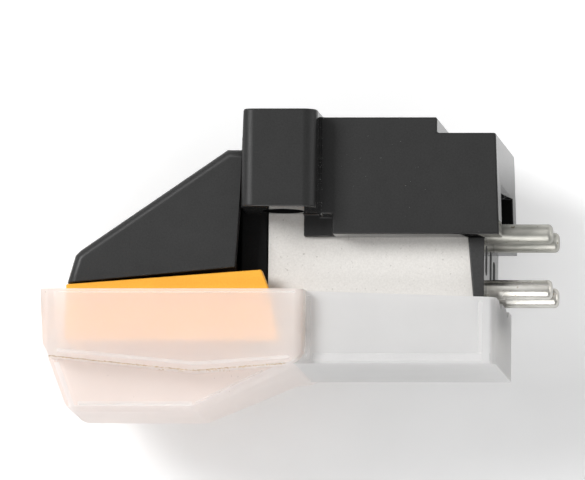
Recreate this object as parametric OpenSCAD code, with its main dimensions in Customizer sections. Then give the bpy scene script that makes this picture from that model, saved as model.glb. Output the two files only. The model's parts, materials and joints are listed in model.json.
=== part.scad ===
// Moving-magnet phono cartridge with its stylus unit and clip-on stylus guard.
// Origin: midway between the two mounting holes, on the mounting plane.
// +Z is up, towards the headshell; +X runs back towards the terminal pins.

/* [Mounting bracket] */
// Distance between the axes of the two mounting holes
hole_spacing = 12.7; // [12.4:0.1:13.4]
// Diameter of each mounting hole
hole_d = 2.7; // [2.4:0.1:3.2]
// Plastic outside each hole, at the lug's outer side
lug_wall = 1.55; // [1:0.05:2.2]
// Length of a screw lug, front to back, at its top
lug_len = 4.7; // [4.2:0.1:5.2]
// Height of a screw lug
lug_h = 6.24; // [4:0.1:7]
// Radius of a lug's two outer upright edges
lug_corner_r = 0.9; // [0.4:0.1:1.2]
// How much a lug's front face leans forward from top to bottom
lug_draft = 0.2; // [0:0.05:0.3]
// Height of the lug tops above the bracket's top
lug_rise = 0.28; // [0.1:0.02:0.6]
// Depth of the rear shelf below the bracket's top
shelf_drop = 0.99; // [0.4:0.05:1.4]
// Length of the rear shelf at its top
shelf_len = 3.74; // [2:0.1:5]
// Distance from the hole line back to the front of the wide box, below the lugs
box_front = 3.13; // [2.9:0.05:4]
// Height of the cut below each lug, ahead of the wide box
cut_h = 1.27; // [0.8:0.05:1.45]
// Distance from the hole line back to the bracket's rear face, at its top
box_rear = 13.51; // [13.2:0.01:15]
// How much the rear face leans back from top to bottom
rear_draft = 0.26; // [0:0.01:0.3]
// Width of the wide box
box_w = 13.4; // [12.4:0.1:15]
// Depth of the bracket's underside below the mounting plane
box_depth = 7.72; // [7.2:0.05:8.2]
// Thickness of the bracket's roof over the shield can
roof = 2.12; // [1.6:0.05:2.6]
// Thickness of the thin skirt between a lug and the wide box
skirt = 0.45; // [0.3:0.05:0.8]
// Distance from the hole line back to the skirt's front edge
skirt_front = 1.17; // [0.8:0.05:2]
// Width of the terminal recess in the rear face
recess_w = 8.8; // [8.4:0.1:9.6]
// Height of the terminal recess
recess_h = 3.45; // [2.6:0.05:4]

/* [Shield can] */
// Width of the can
can_w = 8.9; // [8.4:0.1:9.4]
// Distance from the hole line forward to the can's front face
can_front = 1.12; // [0.8:0.02:1.4]
// Length of the can at its open top
can_len = 12.25; // [12:0.05:12.6]
// Height of the can
can_h = 12.5; // [12:0.1:13]
// How much the can's rear face leans back from top to bottom
can_lean = 1.17; // [0.8:0.05:1.3]
// Sheet thickness of the can
can_sheet = 0.4; // [0.2:0.05:0.6]
// Outer bend radius of the can's edges
can_bend_r = 0.6; // [0.45:0.05:1]

/* [Terminals] */
// Width of the terminal block
block_w = 10.2; // [9.6:0.1:10.4]
// Rear face of the terminal block, behind the hole line
block_rear = 12.7; // [12.65:0.01:12.95]
// Height of the terminal block's lower part, below the bracket
block_h = 5.4; // [5.1:0.1:5.8]
// Diameter of a terminal pin
pin_d = 1.27; // [1.1:0.01:1.3]
// Length of a terminal pin outside the block
pin_len = 4.13; // [3:0.01:5]
// Radius of the rounded rim at a pin's end
pin_end_r = 0.3; // [0.1:0.05:0.4]
// Diameter of a pin's shank inside the block
shank_d = 0.9; // [0.6:0.05:1]
// Length of a pin's tail inside the can
pin_tail = 0.5; // [0.3:0.05:0.6]
// Distance between the pins, side to side
pin_pitch_y = 5.0; // [4:0.1:5.4]
// Distance between the pins, up and down
pin_pitch_z = 3.55; // [3:0.05:3.6]
// Height of the upper pins above the bracket's underside
pin_rise = 0.42; // [0.2:0.02:0.5]
// Plastic of the block around the pins, above, below and ahead of them
pin_cover = 0.4; // [0.3:0.05:0.6]
// Distance from the can's side to its window for the block's plug
window_in = 0.6; // [0.5:0.05:1]
// Depth of the block's plug inside the can
plug_depth = 0.5; // [0.4:0.05:0.6]

/* [Stylus grip and holder] */
// Width of the grip and holder
grip_w = 13.4; // [13:0.1:13.6]
// Distance from the hole line forward to the grip's front, at its bottom
grip_front = 13.73; // [13:0.05:13.9]
// Depth of the grip's flat top below the mounting plane
grip_top = 2.32; // [2:0.02:2.6]
// Distance from the hole line forward to the grip's rear, at its bottom
grip_rear = 3.03; // [3:0.01:3.1]
// Distance from the hole line forward to the rear of the grip's flat top
crest_rear = 2.5; // [2.45:0.01:2.6]
// Distance from the hole line forward to the front of the grip's flat top
crest_front = 3.59; // [3.4:0.01:3.9]
// Height of the grip at its front
grip_h_front = 8.51; // [8.45:0.01:8.6]
// Height of the grip at its rear
grip_h_rear = 7.51; // [7.45:0.01:7.6]
// Distance from the grip's front back to the top of its nose
nose_in = 0.51; // [0.4:0.01:0.6]
// Depth of the top of the nose below the grip's flat top
nose_drop = 6.74; // [6.6:0.01:6.8]
// Distance from the grip's front back to the foot of its slope
brow_in = 0.82; // [0.75:0.01:0.95]
// Depth of the foot of the slope below the grip's flat top
brow_drop = 6.42; // [6.2:0.01:6.45]
// Wall of the grip
grip_wall = 1.0; // [0.7:0.1:1.4]
// Radius of the grip's moulded edges
grip_r = 0.55; // [0.3:0.05:0.65]
// Dark seam between the grip and the holder
seam = 0.1; // [0.05:0.01:0.2]
// Depth of the holder's bottom below the mounting plane
holder_bottom = 14.5; // [14.3:0.05:14.7]
// How much further the holder's seam opens towards its rear
seam_open = 0.06; // [0.02:0.01:0.1]
// Distance from the hole line forward to the holder's rear, at its top
holder_rear_top = 1.34; // [1.2:0.01:1.4]
// The same below its bevelled upper corner
holder_rear_mid = 0.87; // [0.8:0.01:1]
// The same at its bottom
holder_rear_low = 0.17; // [0.1:0.01:0.3]
// Height of the holder's bevelled upper corner
holder_corner = 1.19; // [1:0.01:1.3]
// How far the holder's foot stands out ahead of the grip
holder_foot = 0.12; // [0.08:0.01:0.2]
// Height of the spigot inside the grip
spigot_h = 0.5; // [0.4:0.05:0.8]
// Play of the spigot inside the grip's front
spigot_play = 0.35; // [0.2:0.05:0.5]
// Wall of the holder
holder_wall = 1.1; // [0.8:0.1:1.5]
// Width of the boss that holds the stylus tube
boss_w = 4.4; // [3.6:0.1:5]

/* [Stylus] */
// Rake of the stylus axis below the horizontal, in degrees
rake = 22; // [18:1:25]
// Distance from the hole line forward to the pivot
pivot_x = 3.4; // [3.3:0.02:3.6]
// Depth of the pivot below the mounting plane
pivot_z = 13.85; // [13.6:0.05:13.9]
// Length of the cantilever ahead of the pivot
cantilever_len = 6.6; // [5.6:0.1:7]
// Outer diameter of the cantilever
cantilever_d = 0.55; // [0.4:0.05:0.7]
// Length of the stone below the cantilever
tip_len = 0.7; // [0.5:0.05:0.9]
// Diameter of the stone's shank
tip_d = 0.26; // [0.2:0.02:0.36]
// Length of the cantilever behind the pivot, to the magnet
neck_len = 1.5; // [1.3:0.1:1.7]
// Length of the magnet
magnet_len = 2.0; // [1.5:0.1:2.2]
// Diameter of the magnet
magnet_d = 0.8; // [0.6:0.05:0.9]
// Bore of the stylus tube
tube_bore = 2.0; // [1.95:0.05:2.2]
// Length of the rubber damper around the pivot
damper_len = 0.9; // [0.7:0.05:1]
// Wall of the stylus tube
tube_wall = 0.25; // [0.2:0.05:0.3]
// Length of the stylus tube behind the pivot
tube_len = 6.4; // [6:0.1:7]
// Length of the stylus tube ahead of the pivot
tube_lip = 0.8; // [0.6:0.05:0.9]
// Diameter of the tie wire behind the magnet
wire_d = 0.14; // [0.1:0.01:0.2]
// Length of the tie wire behind the magnet
wire_len = 1.4; // [1:0.1:1.6]
// Wall of the sleeve that the stylus tube slides into
sleeve_wall = 0.3; // [0.2:0.05:0.35]
// Distance from the nose block's front back to the sleeve
sleeve_set_in = 0.55; // [0.5:0.05:0.8]
// Length of the boss ahead of the pivot
boss_ahead = 1.1; // [1:0.05:1.4]
// How far the boss stands below the holder
boss_drop = 0.6; // [0.4:0.05:0.65]

/* [Stylus guard] */
// Wall of the guard
guard_wall = 0.7; // [0.5:0.05:0.9]
// Gap between the guard and the holder
guard_gap = 0.1; // [0.05:0.01:0.2]
// Room ahead of the holder, inside the guard's front
front_room = 0.7; // [0.5:0.05:1]
// Depth of the guard's upper edge below the mounting plane
guard_top = 11.28; // [11.25:0.01:11.6]
// Distance from the hole line back to the step in the guard's side
guard_step = 1.43; // [1.2:0.05:2.4]
// How much the guard's upper edge falls towards its rear
guard_fall = 0.38; // [0.25:0.01:0.45]
// Distance from the hole line back to the guard's rear
guard_rear = 13.54; // [13.5:0.01:14.2]
// Depth of the guard's rear floor below the mounting plane
guard_floor = 15.9; // [15.75:0.05:16.3]
// Room under the holder, inside the guard's ledge at its lowest point
ledge_room = 1.3; // [1.2:0.05:1.5]
// Rise of the ledge from its lowest point to its front
ledge_rise_front = 0.95; // [0.85:0.05:1.05]
// Rise of the ledge from its lowest point to its rear
ledge_rise_rear = 0.55; // [0.4:0.05:0.6]
// Distance from the hole line forward to the ledge's lowest point
ledge_low_x = 5.5; // [5:0.1:6]
// Radius of the rounded corner at the ledge's rear end
ledge_end_r = 1.1; // [0.6:0.1:1.2]
// Width and height of the bevel at the ledge's front end
ledge_bevel = 0.6; // [0.5:0.05:0.7]
// Room under the stylus tip, inside the pod
tip_room = 1.07; // [0.8:0.01:1.4]
// Width of the pod at the ledge
pod_top_w = 11.6; // [11:0.1:12.4]
// Width of the pod at its bottom
pod_bottom_w = 9.0; // [7.4:0.1:9.4]
// Radius of the pod's edges
pod_round = 1.0; // [0.95:0.05:1.1]
// How much the guard's front leans back from the rim to the ledge
front_lean = 0.22; // [0.1:0.02:0.3]
// How much the pod's front leans back from the ledge to its bottom
pod_lean = 0.88; // [0.7:0.02:1.1]
// How far the pod's front is set in from the ledge's front
pod_set_in = 0.05; // [0.02:0.01:0.1]
// Rise of the pod's upper front balls from the ledge's front end
pod_front_rise = 0.38; // [0.3:0.02:0.6]
// Distance from the hole line forward to the rear of the pod's flat bottom
pod_heel_x = 5.9; // [5.6:0.05:6.2]
// Distance from the hole line back to the pod's rear end
pod_end_x = 0.2; // [0:0.05:0.4]
// Rise of the pod's rear end from the ledge's lowest point
pod_end_rise = 1.42; // [1.3:0.02:1.5]
// Room around each lower pin for a lead clip, through the guard's rear wall
clip_room = 0.62; // [0.6:0.01:0.7]
// How far the guard's wall is thinned at its rim, so that it slips over the holder
lead_in = 0.3; // [0.1:0.05:0.4]
// Height of the thinned rim
lead_depth = 0.55; // [0.3:0.05:1]
// Radius of the guard's upright corners at its wide front
guard_corner_r = 0.6; // [0.5:0.1:1.2]
// Radius of the guard's upright corners at its rear
tail_corner_r = 0.5; // [0.4:0.1:1]

/* [Generator] */
// Width and height of a core's legs
core_leg = 1.1; // [0.8:0.05:1.2]
// Distance from the middle plane to a core's middle
core_y = 2.25; // [2.25:0.01:2.3]
// Depth of the upper legs below the mounting plane
leg_upper_z = 5.6; // [5.4:0.1:5.8]
// Depth of the lower legs below the mounting plane
leg_lower_z = 9.6; // [9.5:0.05:9.8]
// Outer diameter of a coil
coil_d = 3.3; // [2.6:0.1:3.4]
// Length of a coil's winding
coil_len = 4.1; // [3.2:0.1:4.2]
// Distance from the hole line back to the bobbins
bobbin_x = 4.0; // [3.9:0.05:4.1]
// Wall and flange thickness of a bobbin
bobbin_wall = 0.25; // [0.15:0.05:0.3]
// Thickness of the plate between the channels
plate_t = 0.3; // [0.2:0.05:0.4]
// Gap from the can's front to the front bars of the cores
core_gap = 0.17; // [0.1:0.01:0.25]
// Distance between a core's front and rear bars
bar_step = 1.5; // [1.4:0.05:1.6]
// How much narrower the bars are than the legs
bar_less = 0.2; // [0.1:0.05:0.3]
// Gap from the bobbins to the cores' yokes
yoke_gap = 0.3; // [0.2:0.05:0.35]
// How far the front bars reach below the sleeve's start
front_reach = 0.1; // [0.05:0.05:0.2]
// How far the rear bars stop short of it
rear_reach = 0.6; // [0.55:0.05:0.7]

/* [Hidden] */

smooth = 64;
// Flat strips in each moulded edge of the grip
edge_steps = 5;
black = [0.24, 0.24, 0.24];
dark = [0.1, 0.1, 0.1];
silver = [0.88, 0.88, 0.86];
tinned = [0.66, 0.65, 0.62];
orange = [1, 0.7, 0.27];
milky = [0.93, 0.92, 0.92, 0.6];
copper = [0.72, 0.42, 0.22];
iron = [0.5, 0.5, 0.52];
brass = [0.8, 0.68, 0.4];

// Running allowances: the first between pieces that are seated, the second between pieces that move
seat = 0.03;
run = 0.05;
// Overshoot of a cut past the face that it opens
eps = 0.5;

// Bracket
hole_y = hole_spacing / 2;
lug_out = hole_y + hole_d / 2 + lug_wall;
lug_front = lug_len / 2;
box_half = box_w / 2;
can_half = can_w / 2;
can_rear = can_len - can_front;
roof_z = lug_rise + roof;
skirt_out = can_half + seat + skirt;
shelf_x = box_rear - shelf_len;
shelf_z = lug_rise + shelf_drop;

// Can: rear face position at a depth z
function can_rear_at(z) = can_rear + can_lean * (z - roof_z) / can_h;
can_bottom = roof_z + can_h;

// Terminals
block_top = box_depth;
block_bottom = box_depth + block_h;
pin_upper_z = box_depth - pin_rise;
pin_lower_z = pin_upper_z + pin_pitch_z;
tongue_top = pin_upper_z - pin_d / 2 - pin_cover;
tongue_half = recess_w / 2 - seat;
window_half = can_half - can_sheet - window_in;
window_top = tongue_top + pin_cover / 2;
window_bottom = pin_lower_z + pin_d / 2 + pin_cover;
plug_front = can_rear_at(window_top) - can_sheet - plug_depth;
pin_start = plug_front - pin_tail;

// Grip: corners of its side view, from the bottom front round to the bottom rear
nose_x = grip_front - nose_in;
nose_z = grip_top + nose_drop;
brow_x = grip_front - brow_in;
brow_z = grip_top + brow_drop;
crest_x = crest_front;
grip_low_front = grip_top + grip_h_front;
grip_low_rear = grip_top + grip_h_rear;
grip_half = grip_w / 2;

// Holder: its top follows the grip's bottom, with the seam between
holder_top_front = grip_low_front + seam;
holder_top_rear = grip_low_rear + seam + seam_open;
cheek_in = grip_half - holder_wall;
spigot_front = grip_front - grip_wall - spigot_play;
spigot_rear = grip_rear + seam;

// Nose block between the grip and the can
nose_front = grip_rear - 0.1;
nose_half = can_half - 0.15;
nose_top = roof_z;
nose_step = grip_top + grip_wall + seat;
nose_bottom = can_bottom - 0.35;

// Stylus axis
tube_r = tube_bore / 2 + tube_wall;
sleeve_r = tube_r + seat + sleeve_wall;
sleeve_start = pivot_x - nose_front + sleeve_set_in;
boss_front = pivot_x + boss_ahead;
anchor_start = neck_len + magnet_len + wire_len + run;

// Guard
guard_front = grip_front + holder_foot + guard_gap + front_room + guard_wall;
wall_low_x = guard_front - front_lean;
guard_half = grip_half + guard_gap + guard_wall;
tail_half = block_w / 2 + guard_gap + guard_wall;
tip_depth = pivot_z + cantilever_len * sin(rake) + tip_len;
ledge_depth = holder_bottom + ledge_room + guard_wall;
pod_depth = tip_depth + tip_room + guard_wall;
ledge_front_z = ledge_depth - ledge_rise_front;
ledge_rear_z = ledge_depth - ledge_rise_rear;
ledge_front_x = guard_front - ledge_bevel;
pod_end_z = ledge_depth - pod_end_rise;

// Places a shape drawn in the side view, x to the rear and y up, across the middle plane
module side_view(width) {
  rotate([90, 0, 0])
    linear_extrude(height = width, center = true)
      children();
}

// Rectangle with round corners, given by its sides and the radius
module round_rect(x0, x1, y0, y1, r) {
  translate([x0 + r, y0]) square([x1 - x0 - 2 * r, y1 - y0]);
  translate([x0, y0 + r]) square([x1 - x0, y1 - y0 - 2 * r]);
  for (x = [x0 + r, x1 - r], y = [y0 + r, y1 - r])
    translate([x, y]) circle(r = r, $fn = smooth);
}

// Moves a shape with its axis on +X to the stylus axis, with x = 0 at the pivot
module on_stylus_axis() {
  translate([-pivot_x, 0, -pivot_z])
    rotate([0, -rake, 0])
      children();
}

// Round bar along +X
module bar(x0, x1, r) {
  translate([x0, 0, 0])
    rotate([0, 90, 0])
      cylinder(h = x1 - x0, r = r, $fn = smooth);
}

// Mounting bracket
module lug_plan() {
  round_rect(-lug_front - lug_draft, lug_front, can_half + seat, lug_out, lug_corner_r);
  translate([-lug_front - lug_draft, can_half + seat])
    square([lug_len + lug_draft, lug_corner_r + 0.1]);
}

module lug() {
  intersection() {
    translate([0, 0, -lug_h]) linear_extrude(height = lug_h) lug_plan();
    side_view(2 * lug_out + eps)
      polygon([[-lug_front - lug_draft, -lug_h], [lug_front, -lug_h],
               [lug_front, 0], [-lug_front, 0]]);
  }
}

module bracket_side() {
  polygon([[lug_front - 0.1, -lug_rise], [shelf_x, -lug_rise], [shelf_x, -shelf_z],
           [box_rear, -shelf_z], [box_rear + rear_draft, -box_depth], [box_front, -box_depth],
           [box_front, -box_depth + cut_h], [lug_front - 0.1, -box_depth + cut_h]]);
}

module mount_bracket() {
  color(black) difference() {
    union() {
      side_view(box_w) bracket_side();
      translate([-lug_front, -skirt_out, -roof_z])
        cube([box_front + lug_front, 2 * skirt_out, roof]);
      translate([skirt_front, -skirt_out, -box_depth])
        cube([box_front - skirt_front + 0.1, 2 * skirt_out, box_depth - lug_rise]);
      lug();
      mirror([0, 1, 0]) lug();
    }
    // Pocket for the can
    side_view(2 * (can_half + seat))
      polygon([[-lug_front - eps, -roof_z], [can_rear + seat, -roof_z],
               [can_rear_at(box_depth + eps) + seat, -box_depth - eps],
               [-lug_front - eps, -box_depth - eps]]);
    // Terminal recess
    translate([can_rear, -recess_w / 2, -box_depth - eps])
      cube([box_rear, recess_w, recess_h + eps]);
    for (y = [-hole_y, hole_y])
      translate([0, y, -lug_h - eps])
        cylinder(h = lug_h + 2 * eps, d = hole_d, $fn = smooth);
  }
}

// Shield can: side view, taken in by a wall, and its plan
module can_side(inset, top, low) {
  polygon([[-can_front + inset, top], [can_rear - inset, top],
           [can_rear_at(can_bottom) - inset, low], [-can_front + inset, low]]);
}

module can_front_view(inset, top) {
  r = can_bend_r - inset;
  half = can_half - inset;
  bottom = -can_bottom + inset;
  translate([-half, bottom + r]) square([2 * half, top - bottom - r]);
  translate([-half + r, bottom]) square([2 * (half - r), r + 0.1]);
  for (y = [-half + r, half - r])
    translate([y, bottom + r]) circle(r = r, $fn = smooth);
}

module can_form(inset, top) {
  intersection() {
    side_view(can_w) can_side(inset, top, -can_bottom + inset);
    translate([-can_front - eps, 0, 0])
      rotate([90, 0, 90])
        linear_extrude(height = can_len + can_lean + 2 * eps)
          can_front_view(inset, top);
  }
}

module shield_can() {
  color(silver) difference() {
    can_form(0, -roof_z);
    can_form(can_sheet, -roof_z + eps);
    // Way in for the stylus tube's sleeve
    on_stylus_axis() bar(0, tube_len, sleeve_r + seat);
    // Window for the terminal block's plug
    translate([can_rear - can_sheet - eps, -window_half - seat, -window_bottom - seat])
      cube([can_lean + 2 * (can_sheet + eps), 2 * (window_half + seat),
            window_bottom - window_top + 2 * seat]);
  }
}

// Terminal block and its pins
module terminal_block() {
  color(dark) difference() {
    union() {
      side_view(block_w)
        polygon([[can_rear_at(block_top) + seat, -block_top - seat], [block_rear, -block_top - seat],
                 [block_rear, -block_bottom],
                 [can_rear_at(block_bottom) + seat, -block_bottom]]);
      side_view(2 * tongue_half)
        polygon([[can_rear_at(tongue_top) + seat, -tongue_top], [block_rear, -tongue_top],
                 [block_rear, -block_top - 0.1],
                 [can_rear_at(block_top + 0.1) + seat, -block_top - 0.1]]);
      translate([plug_front, -window_half, -window_bottom])
        cube([block_rear - plug_front - 0.3, 2 * window_half, window_bottom - window_top]);
    }
    for (y = [-1, 1], z = [pin_upper_z, pin_lower_z])
      translate([0, y * pin_pitch_y / 2, -z])
        bar(plug_front - eps, block_rear + eps, shank_d / 2);
  }
}

module terminal_pin(y, z) {
  color(tinned)
    translate([pin_start, y, -z])
      rotate([0, 90, 0])
        rotate_extrude($fn = smooth) {
          pin_all = block_rear + pin_len - pin_start;
          square([shank_d / 2, pin_all - pin_len]);
          translate([0, pin_all - pin_len]) square([pin_d / 2, pin_len - pin_end_r]);
          square([pin_d / 2 - pin_end_r, pin_all]);
          intersection() {
            translate([pin_d / 2 - pin_end_r, pin_all - pin_end_r])
              circle(r = pin_end_r, $fn = smooth);
            square([pin_d / 2, pin_all]);
          }
        }
}

module pin_left_signal() {
  terminal_pin(-pin_pitch_y / 2, pin_upper_z);
}

module pin_left_ground() {
  terminal_pin(-pin_pitch_y / 2, pin_lower_z);
}

module pin_right_signal() {
  terminal_pin(pin_pitch_y / 2, pin_upper_z);
}

module pin_right_ground() {
  terminal_pin(pin_pitch_y / 2, pin_lower_z);
}

// Nose block that closes the can's front and takes the stylus tube
module nose_block() {
  color(dark) difference() {
    side_view(2 * nose_half)
      polygon([[-nose_front, -nose_bottom], [-can_front - seat, -nose_bottom],
               [-can_front - seat, -nose_top], [-crest_rear + seat, -nose_top],
               [-crest_rear + seat, -nose_step], [-nose_front, -nose_step]]);
    on_stylus_axis() bar(-nose_front, tube_len, sleeve_r + seat);
  }
}

module socket_sleeve() {
  color(brass) on_stylus_axis() difference() {
    bar(sleeve_start, tube_len - 0.2, sleeve_r);
    bar(sleeve_start - eps, tube_len, tube_r + seat);
  }
}

// Generator: a core for each channel, its bobbins and its coils
front_bar_x = -can_front + can_sheet + core_gap;
rear_bar_x = front_bar_x + bar_step;
bar_w = core_leg - bar_less;
yoke_x = bobbin_x + coil_len + 2 * bobbin_wall + yoke_gap;
sleeve_z = pivot_z - pivot_x * tan(rake);
front_bar_low = sleeve_z + front_reach;
rear_bar_low = sleeve_z - rear_reach;

module core_side() {
  half = core_leg / 2;
  translate([front_bar_x, -leg_upper_z - half]) square([yoke_x - front_bar_x + core_leg, core_leg]);
  translate([rear_bar_x, -leg_lower_z - half]) square([yoke_x - rear_bar_x + core_leg, core_leg]);
  translate([yoke_x, -leg_lower_z - half]) square([core_leg, leg_lower_z - leg_upper_z + core_leg]);
  translate([front_bar_x, -front_bar_low]) square([bar_w, front_bar_low - leg_upper_z]);
  translate([rear_bar_x, -rear_bar_low]) square([bar_w, rear_bar_low - leg_lower_z]);
}

module core(side) {
  color(iron)
    translate([0, side * core_y, 0])
      side_view(core_leg)
        core_side();
}

module core_left() {
  core(-1);
}

module core_right() {
  core(1);
}

bobbin_in = core_leg / 2 + seat;
bobbin_out = bobbin_in + bobbin_wall;
bobbin_len = coil_len + 2 * bobbin_wall;

module bobbin(side, depth) {
  color(dark)
    translate([bobbin_x, side * core_y, -depth])
      difference() {
        union() {
          translate([0, -bobbin_out, -bobbin_out]) cube([bobbin_len, 2 * bobbin_out, 2 * bobbin_out]);
          bar(0, bobbin_wall, coil_d / 2);
          bar(bobbin_len - bobbin_wall, bobbin_len, coil_d / 2);
        }
        translate([-eps, -bobbin_in, -bobbin_in])
          cube([bobbin_len + 2 * eps, 2 * bobbin_in, 2 * bobbin_in]);
      }
}

module coil(side, depth) {
  color(copper)
    translate([bobbin_x + bobbin_wall, side * core_y, -depth])
      difference() {
        bar(0, coil_len, coil_d / 2 - 0.1);
        translate([-eps, -bobbin_out, -bobbin_out])
          cube([coil_len + 2 * eps, 2 * bobbin_out, 2 * bobbin_out]);
      }
}

module bobbin_left_upper() {
  bobbin(-1, leg_upper_z);
}

module bobbin_left_lower() {
  bobbin(-1, leg_lower_z);
}

module bobbin_right_upper() {
  bobbin(1, leg_upper_z);
}

module bobbin_right_lower() {
  bobbin(1, leg_lower_z);
}

module coil_left_upper() {
  coil(-1, leg_upper_z);
}

module coil_left_lower() {
  coil(-1, leg_lower_z);
}

module coil_right_upper() {
  coil(1, leg_upper_z);
}

module coil_right_lower() {
  coil(1, leg_lower_z);
}

module channel_plate() {
  color(silver)
    translate([bobbin_x, -plate_t / 2, -leg_lower_z - coil_d / 2])
      cube([bobbin_len, plate_t, leg_lower_z + coil_d / 2 - roof_z]);
}

// Stylus grip: a wedge with moulded edges, hollow and open below and behind.
// Each edge of its side view is a line, given by a point and the angle at which it climbs to the rear
nose_line = [[-grip_front, -grip_low_front], atan((grip_low_front - nose_z) / (grip_front - nose_x))];
brow_line = [[-brow_x, -brow_z], 46];
slope_line = [[-crest_x, -grip_top], atan((brow_z - grip_top) / (brow_x - crest_x))];
top_line = [[-crest_x, -grip_top], 0];
rear_line = [[-crest_rear, -grip_top],
             atan((grip_low_rear - grip_top) / (grip_rear - crest_rear))];
base_line = [[-grip_front, -grip_low_front],
             atan((grip_low_front - grip_low_rear) / (grip_front - grip_rear))];

// A line moved into the wedge by a distance
function moved_in(line, d) = [line[0] + d * [sin(line[1]), -cos(line[1])], line[1]];
// The point where two lines meet
function meet(a, b) =
  a[0] + [cos(a[1]), sin(a[1])] * ((b[0][0] - a[0][0]) * sin(b[1]) - (b[0][1] - a[0][1]) * cos(b[1]))
       / sin(b[1] - a[1]);

// Side view of the wedge with its outer edges moved in by one distance, and its open edges out by another
module grip_side(inset, open_out) {
  edges = [for (line = [nose_line, brow_line, slope_line, top_line]) moved_in(line, inset)];
  base = moved_in(base_line, open_out);
  rear = moved_in(rear_line, open_out);
  polygon([meet(base, edges[0]), meet(edges[0], edges[1]), meet(edges[1], edges[2]),
           meet(edges[2], edges[3]), meet(edges[3], rear), meet(rear, base)]);
}

module stylus_grip() {
  color(black) difference() {
    // The moulded edge: each layer is wider, and its outline further in, by the steps of a quarter turn
    hull()
      for (turn = [0:90 / edge_steps:90])
        side_view(grip_w - 2 * grip_r * (1 - cos(turn)))
          grip_side(grip_r * (1 - sin(turn)), 0);
    side_view(grip_w - 2 * grip_wall)
      grip_side(grip_wall, eps);
  }
}

// Stylus holder: shell with two cheeks beside the can, open below and behind
module holder_side() {
  polygon([[-grip_front - seat, -holder_top_front], [-holder_rear_top, -holder_top_rear],
           [-holder_rear_mid, -holder_top_rear - holder_corner], [-holder_rear_low, -holder_bottom],
           [-grip_front - holder_foot, -holder_bottom]]);
}

module stylus_holder() {
  color(orange) difference() {
    union() {
      difference() {
        side_view(grip_w) holder_side();
        side_view(2 * cheek_in)
          polygon([[-grip_front + holder_wall, -holder_top_front - holder_wall],
                   [eps, -holder_top_rear - holder_wall], [eps, -holder_bottom - eps],
                   [-grip_front + holder_wall, -holder_bottom - eps]]);
        // Opening in the roof behind the grip, for the nose block and the can
        translate([-nose_front - seat, -cheek_in, -holder_top_rear - holder_wall - eps])
          cube([nose_front + eps, 2 * cheek_in, holder_wall + 2 * eps]);
      }
      // Spigot that the grip sits over
      side_view(2 * (grip_half - grip_wall - seat))
        polygon([[-spigot_front, -holder_top_front - eps], [-spigot_rear, -holder_top_rear - eps],
                 [-spigot_rear, -grip_low_rear + spigot_h], [-spigot_front, -grip_low_front + spigot_h]]);
      translate([-boss_front, -boss_w / 2, -holder_bottom - boss_drop])
        cube([boss_front - nose_front - seat, boss_w, holder_bottom + boss_drop - holder_top_rear - eps]);
    }
    on_stylus_axis() bar(-tube_lip - seat, tube_len, tube_r + seat);
    on_stylus_axis() bar(-boss_front, tube_len, tube_bore / 2);
  }
}

module stylus_tube() {
  color(brass) on_stylus_axis() difference() {
    bar(-tube_lip, tube_len, tube_r);
    bar(-tube_lip - eps, tube_len + eps, tube_bore / 2);
  }
}

module wire_anchor() {
  color(brass) on_stylus_axis() bar(anchor_start, tube_len, tube_bore / 2 - seat);
}

// Moving system. The damper's outside is a ball about the pivot, so it turns in the tube's bore
module damper() {
  color(dark) on_stylus_axis() difference() {
    intersection() {
      sphere(r = tube_bore / 2 - run, $fn = smooth);
      bar(-damper_len / 2, damper_len / 2, tube_bore / 2);
    }
    bar(-damper_len, damper_len, cantilever_d / 2 + run);
  }
}

module cantilever() {
  color(silver) on_stylus_axis() difference() {
    bar(-cantilever_len - 0.35, neck_len, cantilever_d / 2);
    translate([-cantilever_len, 0, 0])
      rotate([0, rake, 0])
        cylinder(h = cantilever_d * 2, r = tip_d / 2 + 0.005, center = true, $fn = smooth);
  }
}

module stylus_magnet() {
  color(iron) on_stylus_axis() bar(neck_len, neck_len + magnet_len, magnet_d / 2);
}

module tie_wire() {
  color(tinned) on_stylus_axis() bar(neck_len + magnet_len, neck_len + magnet_len + wire_len, wire_d / 2);
}

// Stone: a shank through the cantilever with a ground cone below it, upright on the record
module stylus_tip() {
  cone = tip_d * 0.9;
  color(silver) on_stylus_axis()
    translate([-cantilever_len, 0, 0])
      rotate([0, rake, 0])
        rotate_extrude($fn = smooth)
          polygon([[0, cantilever_d * 0.4], [tip_d / 2, cantilever_d * 0.4],
                   [tip_d / 2, -tip_len + cone], [0.02, -tip_len], [0, -tip_len]]);
}

// Stylus guard: a thin shell with a wide front, a narrow tail, a ledge and a tapered pod below it
module guard_front_side(inset, top) {
  r = ledge_end_r - inset / 2;
  end = [for (turn = [0:90 / edge_steps:90])
           [guard_step - inset - r * (1 - cos(turn)), -ledge_rear_z + inset + r * (1 - sin(turn))]];
  polygon(concat([[-guard_front + inset, top], [guard_step - inset, top]], end,
                 [[-ledge_low_x, -ledge_depth + inset],
                  [-ledge_front_x + inset, -ledge_front_z + inset],
                  [-wall_low_x + ledge_bevel / 2 + inset, -ledge_front_z + ledge_bevel / 3 + inset],
                  [-wall_low_x + inset, -ledge_front_z + 4 * ledge_bevel / 3 + inset]]));
}

module guard_front_part(inset, top) {
  intersection() {
    side_view(2 * (guard_half - inset)) guard_front_side(inset, top);
    translate([0, 0, -ledge_depth - eps])
      linear_extrude(height = ledge_depth + 2 * eps)
        round_rect(-guard_front + inset, guard_step - inset,
                   -guard_half + inset, guard_half - inset, guard_corner_r - inset / 2);
  }
}

module guard_tail_part(inset, top) {
  intersection() {
    side_view(2 * tail_half)
      polygon([[0, -guard_floor + inset], [guard_rear - inset, -guard_floor + inset],
               [guard_rear - inset, top - guard_fall], [guard_step, top], [0, top]]);
    translate([0, 0, -guard_floor - eps])
      linear_extrude(height = guard_floor + 2 * eps)
        round_rect(-tail_half, guard_rear - inset, -tail_half + inset, tail_half - inset,
                   tail_corner_r - inset / 2);
  }
}

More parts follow.
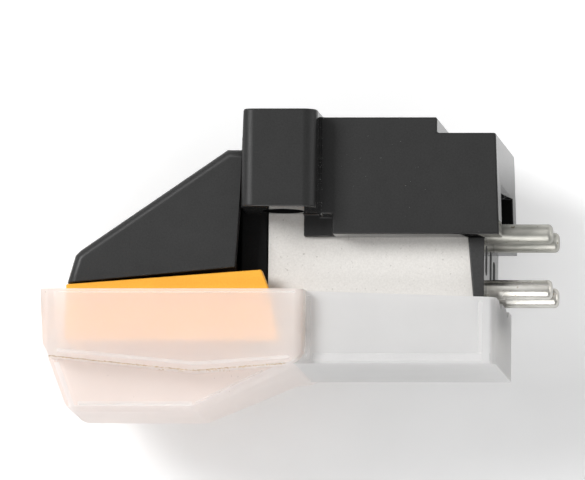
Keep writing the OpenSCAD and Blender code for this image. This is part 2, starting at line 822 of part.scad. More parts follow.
// Pod: a hull of balls, two at each of its four corners in the side view
module guard_pod(inset) {
  r = pod_round - inset;
  top_half = pod_top_w / 2 - pod_round;
  low_half = pod_bottom_w / 2 - pod_round;
  low_z = pod_depth - pod_round;
  front_x = -wall_low_x + pod_set_in + pod_round;
  hull() {
    for (y = [-top_half, top_half], p = [[front_x, ledge_front_z - pod_front_rise], [pod_end_x, pod_end_z]])
      translate([p[0], y, -p[1]]) sphere(r = r, $fn = 24);
    for (y = [-low_half, low_half], x = [front_x + pod_lean, -pod_heel_x])
      translate([x, y, -low_z]) sphere(r = r, $fn = 24);
  }
}

module stylus_guard() {
  color(milky) difference() {
    union() {
      guard_front_part(0, -guard_top);
      guard_tail_part(0, -guard_top);
      guard_pod(0);
    }
    guard_front_part(guard_wall, eps);
    guard_tail_part(guard_wall, guard_fall + eps);
    guard_pod(guard_wall);
    // Room for a lead clip around each lower pin
    for (y = [-1, 1])
      translate([0, y * pin_pitch_y / 2, -pin_lower_z])
        bar(guard_rear - guard_wall - eps, guard_rear + eps, pin_d / 2 + clip_room);
    // Lead-in round the rim of the wide front
    intersection() {
      guard_front_part(guard_wall - lead_in, eps);
      translate([-guard_front, -guard_half, -guard_top - lead_depth])
        cube([guard_front + guard_step, 2 * guard_half, guard_top + lead_depth]);
    }
  }
}

mount_bracket();
shield_can();
terminal_block();
pin_left_signal();
pin_left_ground();
pin_right_signal();
pin_right_ground();
nose_block();
socket_sleeve();
core_left();
core_right();
bobbin_left_upper();
bobbin_left_lower();
bobbin_right_upper();
bobbin_right_lower();
coil_left_upper();
coil_left_lower();
coil_right_upper();
coil_right_lower();
channel_plate();
stylus_grip();
stylus_holder();
stylus_tube();
wire_anchor();
damper();
cantilever();
stylus_magnet();
tie_wire();
stylus_tip();
stylus_guard();
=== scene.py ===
import json
import math
import random

import bmesh
import bpy
from mathutils import Matrix, Vector
from mathutils.bvhtree import BVHTree


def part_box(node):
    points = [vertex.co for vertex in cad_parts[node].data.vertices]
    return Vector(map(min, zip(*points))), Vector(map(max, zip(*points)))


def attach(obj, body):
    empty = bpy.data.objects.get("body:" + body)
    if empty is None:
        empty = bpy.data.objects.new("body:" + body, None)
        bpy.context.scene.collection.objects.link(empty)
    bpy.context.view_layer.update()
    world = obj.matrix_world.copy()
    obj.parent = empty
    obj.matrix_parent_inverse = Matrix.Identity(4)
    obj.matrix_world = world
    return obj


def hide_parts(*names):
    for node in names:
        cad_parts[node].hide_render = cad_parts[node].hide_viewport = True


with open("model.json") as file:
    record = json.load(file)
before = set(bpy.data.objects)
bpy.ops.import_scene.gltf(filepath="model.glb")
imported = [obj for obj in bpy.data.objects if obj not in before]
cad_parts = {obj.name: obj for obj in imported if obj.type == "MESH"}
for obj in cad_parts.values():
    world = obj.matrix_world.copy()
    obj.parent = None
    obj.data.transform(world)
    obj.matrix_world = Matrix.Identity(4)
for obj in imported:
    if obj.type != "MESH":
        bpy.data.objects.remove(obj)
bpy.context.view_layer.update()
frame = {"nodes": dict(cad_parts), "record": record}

MM = 0.001
random.seed(7)
scene = bpy.context.scene


def mm(x, y, z):
    """A point given in millimetres."""
    return Vector((x, y, z)) * MM


# Camera: the photograph's side view, turned a little to the rear and seen a little from below
AIM = mm(-0.033, 0, -7.39)
CAMERA_AZIMUTH = math.radians(5.75)
CAMERA_ELEVATION = math.radians(-6.15)
CAMERA_DISTANCE = 1.2
SENSOR_WIDTH = 36.0
LENS_PER_DISTANCE = 966.0
back = Vector((math.sin(CAMERA_AZIMUTH) * math.cos(CAMERA_ELEVATION),
               -math.cos(CAMERA_AZIMUTH) * math.cos(CAMERA_ELEVATION),
               math.sin(CAMERA_ELEVATION)))
up = back.cross(Vector((1, 0, 0))).normalized()
if up.z < 0:
    up = -up
right = up.cross(back).normalized()
camera_data = bpy.data.cameras.new("camera")
camera = bpy.data.objects.new("camera", camera_data)
scene.collection.objects.link(camera)
camera_data.sensor_width = SENSOR_WIDTH
camera_data.lens = LENS_PER_DISTANCE * CAMERA_DISTANCE
camera_data.clip_start, camera_data.clip_end = 0.01, 10.0
camera.matrix_world = Matrix.Translation(AIM + back * CAMERA_DISTANCE) @ Matrix(
    (right, up, back)).transposed().to_4x4()
scene.camera = camera
scene.view_settings.view_transform = "Standard"


# Nodes that the world and the materials share
def grey(v):
    return (v, v, v)


def ramp(tree, factor, *stops):
    """The colour at factor on a ramp of (place, colour) stops."""
    made = tree.nodes.new("ShaderNodeValToRGB")
    tree.links.new(factor, made.inputs["Fac"])
    marks = made.color_ramp.elements
    while len(marks) < len(stops):
        marks.new(0.5)
    for mark, (place, color) in zip(marks, stops):
        mark.position = place
        mark.color = (*color, 1)
    return made.outputs["Color"]


def mix_shaders(tree, factor, first, second):
    """The first shader where factor is 0, the second where it is 1."""
    made = tree.nodes.new("ShaderNodeMixShader")
    if isinstance(factor, float):
        made.inputs["Fac"].default_value = factor
    else:
        tree.links.new(factor, made.inputs["Fac"])
    tree.links.new(first, made.inputs[1])
    tree.links.new(second, made.inputs[2])
    return made.outputs[0]


def seen_or_through(tree):
    """1 where the camera sees a thing, by itself or through another, and 0 where it only sends light."""
    rays = tree.nodes.new("ShaderNodeLightPath")
    either = tree.nodes.new("ShaderNodeMath")
    either.operation = "MAXIMUM"
    tree.links.new(rays.outputs["Is Camera Ray"], either.inputs[0])
    tree.links.new(rays.outputs["Is Transmission Ray"], either.inputs[1])
    return either.outputs[0]


# World: even light on the object, white where it is seen or shows through, and for gloss a room that
# is brightest a little above the level. ROOM is (height from 0, below, to 1, above; brightness)
WORLD_LIGHT = 0.42
ROOM = ((0.0, 0.45), (0.3, 0.5), (0.5, 0.62), (0.62, 0.9), (0.85, 0.95), (0.94, 0.55), (1.0, 0.45))


def background(tree, strength):
    made = tree.nodes.new("ShaderNodeBackground")
    made.inputs["Color"].default_value = (1, 1, 1, 1)
    made.inputs["Strength"].default_value = strength
    return made


def studio():
    made = bpy.data.worlds.new("studio")
    made.use_nodes = True
    tree = made.node_tree
    tree.nodes.clear()
    toward = tree.nodes.new("ShaderNodeTexCoord")
    axes = tree.nodes.new("ShaderNodeSeparateXYZ")
    tree.links.new(toward.outputs["Generated"], axes.inputs[0])
    height = tree.nodes.new("ShaderNodeMapRange")
    height.inputs["From Min"].default_value = -1.0
    tree.links.new(axes.outputs["Z"], height.inputs["Value"])
    room = background(tree, 1.0)
    tree.links.new(ramp(tree, height.outputs[0], *((place, grey(v)) for place, v in ROOM)),
                   room.inputs["Color"])
    rays = tree.nodes.new("ShaderNodeLightPath")
    light = mix_shaders(tree, rays.outputs["Is Glossy Ray"], background(tree, WORLD_LIGHT).outputs[0],
                        room.outputs[0])
    whole = mix_shaders(tree, seen_or_through(tree), light, background(tree, 1.0).outputs[0])
    out = tree.nodes.new("ShaderNodeOutputWorld")
    tree.links.new(whole, out.inputs["Surface"])
    return made


scene.world = studio()

# Lamps: name, place as shares of LAMP_DISTANCE along back, right and up, size in metres, watts
LAMP_DISTANCE = 0.6
LAMPS = (("key", (0.68, -0.62, 0.38), 0.22, 2.5),
         ("fill", (0.6, -0.2, -0.75), 0.5, 1.9),
         ("rear", (0.25, 0.9, 0.1), 0.4, 0.6))


def area_lamp(name, place, size, power):
    data = bpy.data.lights.new(name, "AREA")
    data.shape = "SQUARE"
    data.size = size
    data.energy = power
    lamp = bpy.data.objects.new(name, data)
    scene.collection.objects.link(lamp)
    lamp.location = place
    lamp.rotation_mode = "QUATERNION"
    lamp.rotation_quaternion = (AIM - place).to_track_quat("-Z", "Y")


for name, (near, aside, above), size, power in LAMPS:
    area_lamp(name, AIM + (back * near + right * aside + up * above) * LAMP_DISTANCE, size, power)


# Materials
NOISE_LOW, NOISE_HIGH = 0.3, 0.7


def material(name):
    made = bpy.data.materials.new(name)
    made.use_nodes = True
    tree = made.node_tree
    tree.nodes.clear()
    out = tree.nodes.new("ShaderNodeOutputMaterial")
    shader = tree.nodes.new("ShaderNodeBsdfPrincipled")
    tree.links.new(shader.outputs[0], out.inputs["Surface"])
    return made, tree, shader, out


def coordinates(tree, stretch=(1, 1, 1)):
    place = tree.nodes.new("ShaderNodeTexCoord")
    scale = tree.nodes.new("ShaderNodeMapping")
    scale.inputs["Scale"].default_value = stretch
    tree.links.new(place.outputs["Object"], scale.inputs["Vector"])
    return scale.outputs[0]


def noise(tree, grain_mm, detail, stretch=(1, 1, 1)):
    made = tree.nodes.new("ShaderNodeTexNoise")
    made.inputs["Scale"].default_value = 1.0 / (grain_mm * MM)
    made.inputs["Detail"].default_value = detail
    tree.links.new(coordinates(tree, stretch), made.inputs["Vector"])
    return made.outputs["Fac"]


def graded(tree, factor, low, high):
    """From low to high over the values that a noise mostly has."""
    return ramp(tree, factor, (NOISE_LOW, low), (NOISE_HIGH, high))


def mix_colors(tree, factor, a, b, blend="MIX"):
    made = tree.nodes.new("ShaderNodeMix")
    made.data_type = "RGBA"
    made.blend_type = blend
    if isinstance(factor, float):
        made.inputs["Factor"].default_value = factor
    else:
        tree.links.new(factor, made.inputs["Factor"])
    for key, value in (("A", a), ("B", b)):
        socket = [s for s in made.inputs if s.name == key and s.type == "RGBA"][0]
        if isinstance(value, tuple):
            socket.default_value = (*value, 1)
        else:
            tree.links.new(value, socket)
    return [s for s in made.outputs if s.type == "RGBA"][0]


def bump(tree, shader, height, depth_mm):
    made = tree.nodes.new("ShaderNodeBump")
    made.inputs["Distance"].default_value = depth_mm * MM
    tree.links.new(height, made.inputs["Height"])
    tree.links.new(made.outputs[0], shader.inputs["Normal"])


def moulded(name, dark, light, rough, specular=0.3, depth_mm=0.004):
    """Moulded plastic: fine grain, slow change of colour, and roughness that varies."""
    made, tree, shader, _ = material(name)
    fine = noise(tree, 0.11, 2.0)
    shade = graded(tree, noise(tree, 3.1, 3.0), grey(0.9), grey(1.0))
    color = mix_colors(tree, 1.0, graded(tree, fine, dark, light), shade, "MULTIPLY")
    tree.links.new(color, shader.inputs["Base Color"])
    roughness = graded(tree, noise(tree, 0.9, 3.0), grey(rough[0]), grey(rough[1]))
    tree.links.new(roughness, shader.inputs["Roughness"])
    shader.inputs["Specular IOR Level"].default_value = specular
    bump(tree, shader, fine, depth_mm)
    return made


def metal(name, dark, light, rough, stretch=(1, 1, 1), grain_mm=0.25, specks=None, depth_mm=0.003,
          metallic=1.0):
    """Metal: colour and roughness follow a fine grain, drawn out along stretch, with dark specks."""
    made, tree, shader, _ = material(name)
    fine = noise(tree, grain_mm, 3.0, stretch)
    color = graded(tree, fine, dark, light)
    if specks:
        spots = ramp(tree, noise(tree, 0.26, 2.0), (0.67, grey(0.0)), (0.74, grey(1.0)))
        color = mix_colors(tree, spots, color, specks)
    tree.links.new(color, shader.inputs["Base Color"])
    roughness = graded(tree, noise(tree, grain_mm * 2, 2.0, stretch), grey(rough[0]), grey(rough[1]))
    tree.links.new(roughness, shader.inputs["Roughness"])
    shader.inputs["Metallic"].default_value = metallic
    bump(tree, shader, fine, depth_mm)
    return made


def milky(name, tint, passed, scattered):
    """Milky moulding, as the outer skin of a shell: some light comes back, some passes and is
    scattered, and the rest passes blurred."""
    made, tree, shader, out = material(name)
    color = graded(tree, noise(tree, 2.4, 3.0), tuple(0.97 * c for c in tint), tint)
    tree.links.new(color, shader.inputs["Base Color"])
    shader.inputs["Roughness"].default_value = 0.3
    shader.inputs["Specular IOR Level"].default_value = 0.3
    bump(tree, shader, noise(tree, 0.2, 2.0), 0.004)
    glow = tree.nodes.new("ShaderNodeBsdfTranslucent")
    tree.links.new(color, glow.inputs["Color"])
    blurred = tree.nodes.new("ShaderNodeBsdfRefraction")
    blurred.inputs["Color"].default_value = (1, 1, 1, 1)
    blurred.inputs["Roughness"].default_value = 0.8
    blurred.inputs["IOR"].default_value = 1.3
    skin = mix_shaders(tree, scattered / (1 - passed), shader.outputs[0], glow.outputs[0])
    tree.links.new(mix_shaders(tree, passed, skin, blurred.outputs[0]), out.inputs["Surface"])
    return made


def haze_skin(name, amount):
    """Clear with a little haze: the inner side of the milky shell, whose outer skin already does the
    scattering, and the paler bands on it, one of which is a painted highlight and one partly painted
    light."""
    made, tree, shader, out = material(name)
    bare = tree.nodes.new("ShaderNodeBsdfTransparent")
    tree.links.new(graded(tree, noise(tree, 2.0, 2.0), grey(0.97), grey(1.0)), bare.inputs["Color"])
    shader.inputs["Base Color"].default_value = (0.98, 0.97, 0.965, 1)
    shader.inputs["Roughness"].default_value = 0.4
    tree.links.new(mix_shaders(tree, amount, bare.outputs[0], shader.outputs[0]), out.inputs["Surface"])
    return made


def stone():
    made, tree, shader, _ = material("stone")
    color = graded(tree, noise(tree, 0.05, 2.0), (0.86, 0.9, 0.97), (0.95, 0.97, 1.0))
    tree.links.new(color, shader.inputs["Base Color"])
    shader.inputs["Roughness"].default_value = 0.04
    shader.inputs["Transmission Weight"].default_value = 0.8
    shader.inputs["IOR"].default_value = 2.2
    return made


black_plastic = moulded("black_plastic", grey(0.011), grey(0.017), (0.38, 0.44))
polished = moulded("polished_plastic", grey(0.014), grey(0.02), (0.07, 0.1), specular=0.5,
                   depth_mm=0.0008)
# Near-black copy of the black plastic: painted shade in holes, recesses and slots
shade_painted_plastic = moulded("painted_shade_plastic", grey(0.002), grey(0.004), (0.5, 0.6), specular=0.1)
grip_plastic = moulded("grip_plastic", grey(0.018), grey(0.024), (0.34, 0.42), specular=0.27)
dark_plastic = moulded("dark_plastic", grey(0.005), grey(0.009), (0.4, 0.55), specular=0.1)
block_plastic = moulded("block_plastic", grey(0.030), grey(0.040), (0.3, 0.4))
orange_plastic = moulded("orange_plastic", (0.97, 0.44, 0.047), (1.0, 0.495, 0.062), (0.4, 0.5),
                         specular=0.15)
# Dark brown: painted shadow in the seam between the grip and the holder
seam_shadow_plastic = moulded("seam_shadow_plastic", (0.012, 0.006, 0.004), (0.02, 0.009, 0.005), (0.5, 0.7),
                       specular=0.1)
rubber = moulded("damper_rubber", grey(0.012), grey(0.02), (0.7, 0.85), specular=0.2)
steel = metal("speckled_steel", (0.66, 0.64, 0.61), (0.74, 0.72, 0.69), (0.4, 0.55), grain_mm=0.1,
              specks=(0.5, 0.48, 0.45), metallic=0.35)
tinned = metal("tinned_pin", (0.32, 0.32, 0.29), (0.5, 0.49, 0.45), (0.34, 0.46), (0.35, 1, 1),
               grain_mm=0.5, specks=(0.2, 0.18, 0.14), depth_mm=0.012)
# A lighter, glossier copy of the pin metal for the ground pins: the lighter colour is painted light, the
# brown specks tarnish
ground_pin_painted_light = metal("ground_pin_painted_light", (0.48, 0.46, 0.42), (0.72, 0.71, 0.67), (0.2, 0.32), (0.35, 1, 1),
                   grain_mm=0.5, specks=(0.3, 0.24, 0.16), depth_mm=0.012)
brass = metal("brass_tube", (0.66, 0.46, 0.2), (0.8, 0.6, 0.3), (0.25, 0.4), (0.2, 1, 1))
iron = metal("core_iron", (0.36, 0.36, 0.37), (0.48, 0.48, 0.5), (0.3, 0.5))
copper = metal("copper_wire", (0.6, 0.26, 0.12), (0.76, 0.38, 0.19), (0.2, 0.35))
aluminium = metal("aluminium_tube", (0.78, 0.79, 0.8), (0.9, 0.9, 0.91), (0.22, 0.38), (0.2, 1, 1))
# The guard is one milky plastic, in copies that paint light and shade. Their warm tints are painted glow
# from the orange holder inside; the pod's less clear copy is also painted light, the tail's grey copy
# painted shade, the edge copy a painted highlight on the rim's tops and painted light on the pod's
# undersides, and the rear copy painted light
guard_plastic = milky("milky_plastic", (1.0, 0.93, 0.895), 0.34, 0.24)
guard_pod_painted_light = milky("milky_pod_painted_light", (0.91, 0.81, 0.76), 0.1, 0.22)
guard_tail_painted_shade = milky("milky_tail_painted_shade", (0.765, 0.763, 0.761), 0.1, 0.26)
guard_edge_painted_light = milky("milky_edge_painted_light", (1.0, 0.96, 0.94), 0.16, 0.3)
guard_rear_painted_light = milky("milky_rear_painted_light", (0.97, 0.968, 0.965), 0.42, 0.3)
guard_inside = haze_skin("milky_inside", 0.12)
guard_band_and_highlight = haze_skin("milky_band_and_highlight", 0.2)

# A node's finish is its slot's, apart from the nodes in OWN_FINISH
SLOT_FINISH = {
    "black_plastic": black_plastic, "dark_plastic": dark_plastic, "speckled_steel": steel,
    "tinned_pin": tinned, "orange_plastic": orange_plastic, "milky_plastic": guard_plastic,
    "brass_tube": brass, "core_iron": iron, "copper_wire": copper, "aluminium_tube": aluminium,
    "damper_rubber": rubber, "stone": stone(),
}
OWN_FINISH = {"stylus_grip": grip_plastic, "terminal_block": block_plastic,
              "pin_left_ground": ground_pin_painted_light, "pin_right_ground": ground_pin_painted_light}
slot_of = {part["node"]: part["material_slot"] for part in frame["record"]["subparts"]}


def finish_of(node):
    return OWN_FINISH.get(node, SLOT_FINISH[slot_of[node]])


def paint(piece, *made):
    """Give a piece these materials, and keep each face's place among them as far as there is one."""
    places = [min(face.material_index, len(made) - 1) for face in piece.data.polygons]
    piece.data.materials.clear()
    for one in made:
        piece.data.materials.append(one)
    for face, place in zip(piece.data.polygons, places):
        face.material_index = place


for name, node in frame["nodes"].items():
    paint(node, finish_of(name))


# Shapes
def body_of(node):
    return next(body for body, nodes in frame["record"]["behaviour"]["bodies"].items() if node in nodes)


def add_piece(name, form):
    """A new object with a form's shape. The form is used up."""
    mesh = bpy.data.meshes.new(name)
    form.to_mesh(mesh)
    form.free()
    piece = bpy.data.objects.new(name, mesh)
    scene.collection.objects.link(piece)
    return piece


def close_rings(form, rings):
    """Faces from each ring of corners to the next, and one at either end, all facing out."""
    for one, two in zip(rings, rings[1:]):
        for k in range(len(one)):
            n = (k + 1) % len(one)
            form.faces.new((one[k], one[n], two[n], two[k]))
    form.faces.new(rings[0][::-1])
    form.faces.new(rings[-1])
    bmesh.ops.recalc_face_normals(form, faces=form.faces)


# Places of a face's finish: the guard's, the bracket's and the terminal block's, and the holder's.
# The guard's pod, tail, edge and rear places, the bracket's near-black place and the holder's place
# above the seam take finishes that paint light and shade. Edges between two faces of SHARP_PLACE
# stay sharp
OUTSIDE, INSIDE, POD_PAINTED_LIGHT, TAIL_PAINTED_SHADE, EDGE_PAINTED_LIGHT, REAR_PAINTED_LIGHT = range(6)
POLISHED, PAINTED_SHADE = 1, 2
SEAM_SHADOW = 1
SHARP_PLACE = 1

# Cleaning of a node's mesh: corners nearer than WELD are one, edges shorter than SLIVER go, and faces
# that turn by less than FLAT degrees are one. A face looks at another from SEEN_START off itself
WELD, SLIVER = 0.002 * MM, 0.004 * MM
FLAT = 0.6
SEEN_START = 0.01 * MM


def softened(node, width_mm, sort=None, extra=(), skip=None, cut=None, angle=35.0):
    """A copy of a node's form with its edges rounded, which stands for the node. sort gives the place
    in (its own finish, *extra) of a face's material, from the face's middle in mm, its normal and
    whether it looks at another of the node's own faces. Edges that turn by more than angle degrees
    are rounded. They stay sharp between two faces of SHARP_PLACE, where skip holds for their middle
    in mm, and everywhere when the width is 0. A cut through the faces at x = cut keeps a rounded edge
    whole up to a sharp corner beside it."""
    form = bmesh.new()
    form.from_mesh(frame["nodes"][node].data)
    bmesh.ops.remove_doubles(form, verts=form.verts, dist=WELD)
    bmesh.ops.dissolve_degenerate(form, dist=SLIVER, edges=form.edges)
    form.normal_update()
    tree = BVHTree.FromBMesh(form)
    for face in form.faces:
        face.smooth = True
        face.material_index = OUTSIDE
        if sort:
            middle = face.calc_center_median()
            seen = tree.ray_cast(middle + face.normal * SEEN_START, face.normal)[0]
            face.material_index = sort(middle / MM, face.normal, seen is not None)
    bmesh.ops.dissolve_limit(form, angle_limit=math.radians(FLAT), verts=form.verts, edges=form.edges,
                             delimit={"MATERIAL"})
    if cut:
        bmesh.ops.bisect_plane(form, geom=form.verts[:] + form.edges[:] + form.faces[:],
                               plane_co=mm(cut, 0, 0), plane_no=(1, 0, 0))
    weight = form.edges.layers.float.new("bevel_weight_edge")
    for line in form.edges:
        if len(line.link_faces) == 2 and line.calc_face_angle() > math.radians(angle):
            a, b = (v.co / MM for v in line.verts)
            sharp = extra and all(face.material_index == SHARP_PLACE for face in line.link_faces)
            if not width_mm or sharp or skip and skip((a + b) / 2):
                line.smooth = False
            else:
                line[weight] = 1.0
    piece = add_piece(node + "_moulding", form)
    if width_mm:
        soft = piece.modifiers.new("edges", "BEVEL")
        soft.width = width_mm * MM
        soft.segments = 3
        soft.limit_method = "WEIGHT"
        soft.use_clamp_overlap = False
    piece.modifiers.new("normals", "WEIGHTED_NORMAL").keep_sharp = True
    paint(piece, finish_of(node), *extra)
    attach(piece, body_of(node))
    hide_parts(node)


# Places on the bracket, in mm: its two holes and how far their faces reach, the recess in its rear, and
# the corners behind the lugs with what stays sharp round them. The faces in the holes and the recess
# are near-black, painted shade
HOLE_Y, HOLE_REACH = 6.35, 1.43
RECESS_HALF, RECESS_TOP, RECESS_FRONT = 4.6, -2.5, 12.0
LUG_CORNER_X, LUG_CORNER_Y, BESIDE_CORNER_X = 2.3, 6.7, 2.52
CORNER_REACH_X, CORNER_REACH_Y = 0.15, 0.1

# Places on the guard, in mm: the tail's front at the step, the ledge above the pod, and the rim
TAIL_FRONT, LEDGE_LEVEL, RIM_LEVEL = 1.38, -15.7, -12.0

# The seam on the holder's top, in mm: a point that it starts at, and its rise to the rear. The holder's
# faces above it are dark brown, painted shadow in the seam
SEAM_X, SEAM_Z, SEAM_SLOPE = -13.75, -10.91, 0.0757

# How much of a normal is along an axis: on a face square to it, and on the guard's rear and underside
SQUARE_ON, REARWARD, DOWNWARD = 0.9, 0.35, 0.5


def in_bore(place):
    return Vector((place.x, abs(place.y) - HOLE_Y)).length < HOLE_REACH


def bracket_sharp(place):
    at_corner = (abs(place.x - LUG_CORNER_X) < CORNER_REACH_X
                 and abs(abs(place.y) - LUG_CORNER_Y) < CORNER_REACH_Y)
    return in_bore(place) or at_corner


# Painted shade on the faces in the holes and the rear recess; a glossier finish on faces that look down
# or to the rear
def bracket_face(place, normal, seen):
    in_recess = abs(place.y) < RECESS_HALF and place.z < RECESS_TOP and place.x > RECESS_FRONT and seen
    if in_bore(place) or in_recess:
        return PAINTED_SHADE
    return POLISHED if normal.z < -SQUARE_ON or normal.x > SQUARE_ON else OUTSIDE


def block_face(place, normal, seen):
    return POLISHED if normal.x > SQUARE_ON else OUTSIDE


# Painted shadow on the holder's faces above the seam line
def holder_face(place, normal, seen):
    return SEAM_SHADOW if place.z > SEAM_Z + (place.x - SEAM_X) * SEAM_SLOPE else OUTSIDE


# A face's copy of the guard's plastic: a painted highlight on the rim's tops, painted shade on the tail,
# painted light on the tail's rear faces and on the pod's undersides, and painted glow and light on the
# rest of the pod
def guard_face(place, normal, seen):
    if normal.z > SQUARE_ON and place.z > RIM_LEVEL:
        return EDGE_PAINTED_LIGHT
    if seen:
        return INSIDE
    if place.x > TAIL_FRONT:
        return REAR_PAINTED_LIGHT if normal.x > REARWARD else TAIL_PAINTED_SHADE
    if place.z < LEDGE_LEVEL:
        return EDGE_PAINTED_LIGHT if normal.z < -DOWNWARD else POD_PAINTED_LIGHT
    return OUTSIDE


softened("mount_bracket", 0.13, bracket_face, (polished, shade_painted_plastic), bracket_sharp, BESIDE_CORNER_X)
softened("shield_can", 0.05)
softened("terminal_block", 0.08, block_face, (polished,))
softened("nose_block", 0.15)
softened("stylus_holder", 0.08, holder_face, (seam_shadow_plastic,))
softened("stylus_guard", 0, guard_face,
         (guard_inside, guard_pod_painted_light, guard_tail_painted_shade, guard_edge_painted_light, guard_rear_painted_light), angle=40.0)
softened("stylus_grip", 0.06)

# What lies on the guard's sides is placed by the side towards the camera
guard_mesh = frame["nodes"]["stylus_guard"].data
guard_tree = BVHTree.FromPolygons([v.co for v in guard_mesh.vertices],
                                  [f.vertices for f in guard_mesh.polygons])
BESIDE_ALL_Y = -20


def on_guard(x, z):
    """The point of the guard's side at x and z, all in mm."""
    return guard_tree.ray_cast(mm(x, BESIDE_ALL_Y, z), Vector((0, 1, 0)))[0] / MM


# Dust and dirt: small grains scattered round a path, lying on the surface
def grains(name, body, made, spots):
    """Grains at spots of (middle, radius) in mm, flattened against a side."""
    form = bmesh.new()
    for place, radius in spots:
        grain = bmesh.ops.create_icosphere(form, subdivisions=1, radius=radius * MM)["verts"]
        turn = Matrix.Rotation(random.uniform(0, math.pi), 3, "Y")
        scale = Vector([random.uniform(0.6, 1.5) for _ in range(3)])
        scale.y = 0.45
        for vertex in grain:
            vertex.co = turn @ Vector([a * b for a, b in zip(vertex.co, scale)]) + place * MM
    piece = add_piece(name, form)
    piece.data.shade_smooth()
    paint(piece, made)
    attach(piece, body)


def along(points, count, spread, radii, power):
    """Random spots near a line of points in mm, spread so far along x, y and z. The higher the power,
    the more of the radii are small."""
    lengths = [(b - a).length for a, b in zip(points, points[1:])]
    spots = []
    for _ in range(count):
        at = random.uniform(0, sum(lengths))
        for a, b, length in zip(points, points[1:], lengths):
            if at <= length:
                break
            at -= length
        middle = a.lerp(b, min(at / length, 1.0))
        off = Vector([random.gauss(0, s) for s in spread])
        spots.append((middle + off, radii[0] + (radii[1] - radii[0]) * random.random() ** power))
    return spots


dirt = moulded("tan_dirt", (0.5, 0.36, 0.22), (0.74, 0.6, 0.44), (0.7, 0.9), specular=0.1)
dark_dirt = moulded("dark_dirt", (0.10, 0.08, 0.06), (0.22, 0.17, 0.12), (0.7, 0.9), specular=0.1)
pale_dust = moulded("pale_dust", grey(0.10), grey(0.28), (0.7, 0.9), specular=0.1)

LEDGE = [Vector(p) for p in ((-14.7, -7.5, -15.57), (-5.5, -7.5, -16.51), (0.4, -7.5, -16.04))]
LEDGE_BEND = [LEDGE[1] + Vector((-3, 0, 0.05)), LEDGE[1] + Vector((2.5, 0, 0))]
grains("ledge_dirt", "guard", dirt,
       along(LEDGE, 900, (0, 0.01, 0.018), (0.015, 0.035), 1.5)
       + along(LEDGE_BEND, 90, (0.1, 0.01, 0.05), (0.012, 0.03), 2.0))

SPECKS = ((-4.4, -16.75), (-3.9, -16.7), (-3.3, -16.62), (-2.9, -16.66), (-2.2, -16.45),
          (-4.1, -17.6), (-3.5, -17.55), (-9.6, -17.9), (-11.2, -16.6), (-7.4, -18.0))
grains("guard_specks", "guard", dark_dirt,
       [(on_guard(x, z), random.uniform(0.014, 0.03)) for x, z in SPECKS])

LUG_CORNER = [Vector((2.42, -6.72, -0.9)), Vector((2.46, -6.72, -6.3))]
BRACKET_SIDE = [Vector((3.0, -6.7, -1.2)), Vector((13.0, -6.7, -6.9))]
SIDE_LOW, SIDE_HIGH = -7.6, -1.4
grains("corner_dust", "cartridge", pale_dust,
       along(LUG_CORNER, 42, (0.05, 0.01, 0.0), (0.012, 0.026), 2.0)
       + [spot for spot in along(BRACKET_SIDE, 26, (0.5, 0.0, 1.6), (0.01, 0.02), 2.0)
          if SIDE_LOW < spot[0].z < SIDE_HIGH])

# Paler bands on the guard's sides, where its floor, its ledge and the step's wall join the skin. The
# step's band is also painted light over the shade that the front casts on the tail, and the band
# along the pod's lower edge is a painted highlight
BAND_HALF_THICK = 0.01
BAND_STRIDE = 0.8


def band(name, path, wide):
    """A thin strip on both sides of the guard along a path of (x, z) in mm."""
    places = []
    for (x, z), (x1, z1) in zip(path, path[1:]):
        steps = max(1, round(math.hypot(x1 - x, z1 - z) / BAND_STRIDE))
        places += [(x + (x1 - x) * k / steps, z + (z1 - z) * k / steps) for k in range(steps)]
    places.append(path[-1])
    out = Vector((0, BAND_HALF_THICK, 0))
    form = bmesh.new()
    for side in (1, -1):
        rings = []
        for k, (x, z) in enumerate(places):
            a, b = places[max(k - 1, 0)], places[min(k + 1, len(places) - 1)]
            across = Vector((a[1] - b[1], 0, b[0] - a[0])).normalized() * wide / 2
            one, two = (on_guard(x + across.x * t, z + across.z * t) for t in (1, -1))
            ring = (one - out, two - out, two + out, one + out)
            rings.append([form.verts.new(Vector((p.x, p.y * side, p.z)) * MM) for p in ring])
        close_rings(form, rings)
    piece = add_piece(name, form)
    paint(piece, guard_band_and_highlight)
    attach(piece, "guard")


band("guard_floor_band", ((1.9, -15.5), (13.2, -15.5)), 0.5)
band("guard_rear_band", ((12.55, -11.9), (12.55, -15.2)), 0.3)
band("guard_step_band_and_light", ((1.62, -11.6), (1.62, -15.7)), 0.3)
band("guard_ledge_band", ((-14.2, -15.2), (-5.5, -16.06), (0.6, -15.62)), 0.22)
band("guard_rim_band", ((-15.0, -11.5), (0.9, -11.5)), 0.09)
band("guard_foot_highlight", ((-13.1, -18.36), (-5.95, -18.36), (-4.9, -17.88), (-1.3, -16.28)), 0.1)

# Near-black plates set into the terminal block's rear face, painted shade for the moulded slot recesses
# between the pins: middle y, width, and the z of where the round ends start, low and high, in mm
SLOTS = ((-3.55, 1.1, -9.75, -8.45), (-0.45, 1.2, -10.15, -8.5), (1.95, 1.5, -10.0, -8.9))
SLOT_END, SLOT_SUNK, SLOT_PROUD = 0.3, 0.02, 0.012
HALF_TURN = [(math.cos(t), math.sin(t)) for t in (math.pi * k / 6 for k in range(7))]
BLOCK_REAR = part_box("terminal_block")[1][0]
slot_shade_form = bmesh.new()
for middle, wide, low, high in SLOTS:
    outline = [(middle + wide / 2 * c, high + SLOT_END * s) for c, s in HALF_TURN]
    outline += [(middle - wide / 2 * c, low - SLOT_END * s) for c, s in HALF_TURN]
    close_rings(slot_shade_form, [[slot_shade_form.verts.new(Vector((x, y * MM, z * MM))) for y, z in outline]
                        for x in (BLOCK_REAR - SLOT_SUNK * MM, BLOCK_REAR + SLOT_PROUD * MM)])
slot_shade_piece = add_piece("terminal_slot_shade", slot_shade_form)
paint(slot_shade_piece, shade_painted_plastic)
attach(slot_shade_piece, "cartridge")

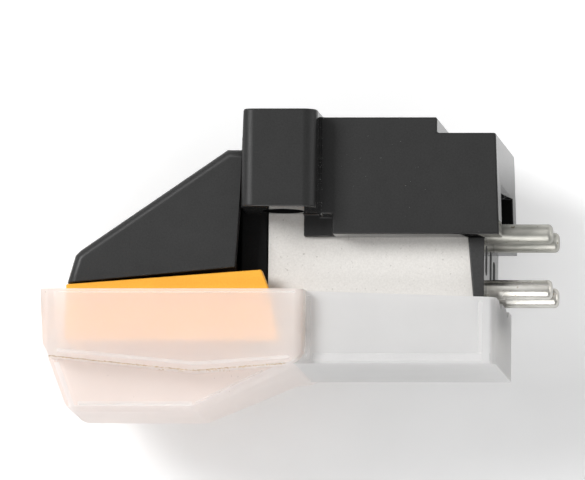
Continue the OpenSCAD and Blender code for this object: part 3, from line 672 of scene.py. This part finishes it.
# Backdrop: the pale paper that the part lies on, behind it. GLOW is (z in mm, strength), low and high
BACKDROP_HALF = 0.6
BACKDROP_MIDDLE = mm(0, 10.4, -7.38)
GLOW = ((-15.5, 0.01), (-4.0, 0.26))


def paper():
    """Paper that glows a little for the camera, more towards its top, and is clear from its other
    side."""
    made, tree, shader, out = material("paper")
    tree.links.new(graded(tree, noise(tree, 6.0, 2.0), grey(0.9), grey(0.93)),
                   shader.inputs["Base Color"])
    shader.inputs["Roughness"].default_value = 0.9
    place = tree.nodes.new("ShaderNodeSeparateXYZ")
    tree.links.new(coordinates(tree), place.inputs[0])
    rise = tree.nodes.new("ShaderNodeMapRange")
    tree.links.new(place.outputs["Z"], rise.inputs["Value"])
    for end, (z, strength) in zip(("Min", "Max"), GLOW):
        rise.inputs["From " + end].default_value = z * MM
        rise.inputs["To " + end].default_value = strength
    lift = tree.nodes.new("ShaderNodeMath")
    lift.operation = "MULTIPLY"
    tree.links.new(seen_or_through(tree), lift.inputs[0])
    tree.links.new(rise.outputs[0], lift.inputs[1])
    glow = tree.nodes.new("ShaderNodeEmission")
    tree.links.new(lift.outputs[0], glow.inputs["Strength"])
    both = tree.nodes.new("ShaderNodeAddShader")
    tree.links.new(shader.outputs[0], both.inputs[0])
    tree.links.new(glow.outputs[0], both.inputs[1])
    side = tree.nodes.new("ShaderNodeNewGeometry")
    clear = tree.nodes.new("ShaderNodeBsdfTransparent")
    tree.links.new(mix_shaders(tree, side.outputs["Backfacing"], both.outputs[0], clear.outputs[0]),
                   out.inputs["Surface"])
    return made


backdrop_mesh = bpy.data.meshes.new("backdrop")
corners = [BACKDROP_MIDDLE + right * (x * BACKDROP_HALF) + up * (y * BACKDROP_HALF)
           for x, y in ((-1, -1), (1, -1), (1, 1), (-1, 1))]
backdrop_mesh.from_pydata(corners, [], [(0, 1, 2, 3)])
backdrop = bpy.data.objects.new("backdrop", backdrop_mesh)
scene.collection.objects.link(backdrop)
paint(backdrop, paper())
